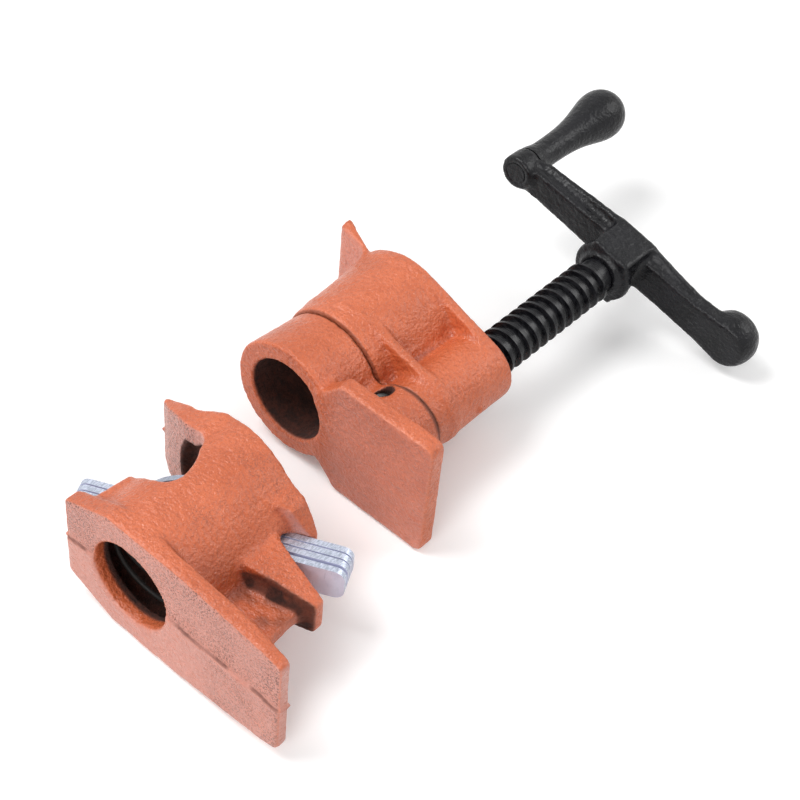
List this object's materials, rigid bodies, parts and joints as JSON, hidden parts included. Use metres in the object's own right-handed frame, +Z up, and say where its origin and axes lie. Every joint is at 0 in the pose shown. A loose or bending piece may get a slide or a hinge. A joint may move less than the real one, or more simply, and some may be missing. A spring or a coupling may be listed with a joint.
{
  "type": "pipe clamp",
  "caption": "Woodworking clamp for a 3/4 inch pipe: an orange cast screw head with a black crank, and a sliding tail with clutch plates.",
  "frame": {"origin": "centre of the moving jaw's pipe bore on its clamping side", "axes": "+Y along the pipe from the clamping side to the crank, +X from the feet to the jaw tips, +Z up as it lies"},
  "size_m": [0.1144, 0.2534, 0.0448],
  "materials": {
    "orange_paint": "semi-gloss over rough cast iron",
    "black_paint": "satin over cast iron",
    "screw_black": "oiled black oxide",
    "steel_pin": "plain steel",
    "zinc_plate": "bright zinc plating",
    "spring_steel": "plain spring steel"
  },
  "bodies": {
    "head": {"head_casting": "orange_paint"},
    "jaw": {"moving_jaw": "orange_paint", "jaw_retaining_pin": "steel_pin"},
    "screw_and_crank": {"screw": "screw_black", "crank_casting": "black_paint", "crank_cross_pin": "steel_pin", "knob_rivet": "black_paint"},
    "knob": {"crank_knob": "black_paint"},
    "tail": {"tail_jaw_casting": "orange_paint", "clutch_spring": "spring_steel"},
    "clutch": {"clutch_plate_1": "zinc_plate", "clutch_plate_2": "zinc_plate", "clutch_plate_3": "zinc_plate", "clutch_plate_4": "zinc_plate"}
  },
  "joints": [
    {"name": "jaw_slide", "type": "slide", "parent": "head", "child": "jaw", "axis": [0, -1, 0], "range_m": [0, 0.02625]},
    {"name": "screw_turn", "type": "hinge", "parent": "jaw", "child": "screw_and_crank", "pos_m": [0.0306, 0.015, 0], "axis": [0, -1, 0], "range_deg": [0, 2250]},
    {"name": "knob_spin", "type": "hinge", "parent": "screw_and_crank", "child": "knob", "pos_m": [-0.01257, 0.15, 0.01036], "axis": [0, 1, 0], "continuous": true},
    {"name": "tail_slide", "type": "slide", "parent": "head", "child": "tail", "axis": [0, -1, 0], "range_m": [0, 0.1]},
    {"name": "clutch_tilt", "type": "hinge", "parent": "tail", "child": "clutch", "pos_m": [-0.00346, -0.06448, 0], "axis": [0, 0, -1], "range_deg": [0, 2.2], "stiffness_Nm_per_rad": 1, "springref_deg": -2.86, "deforming": ["clutch_spring"]}
  ],
  "couplings": [
    {"joint": "jaw_slide", "follows": "screw_turn", "m_per_rad": 0.00066845}
  ]
}
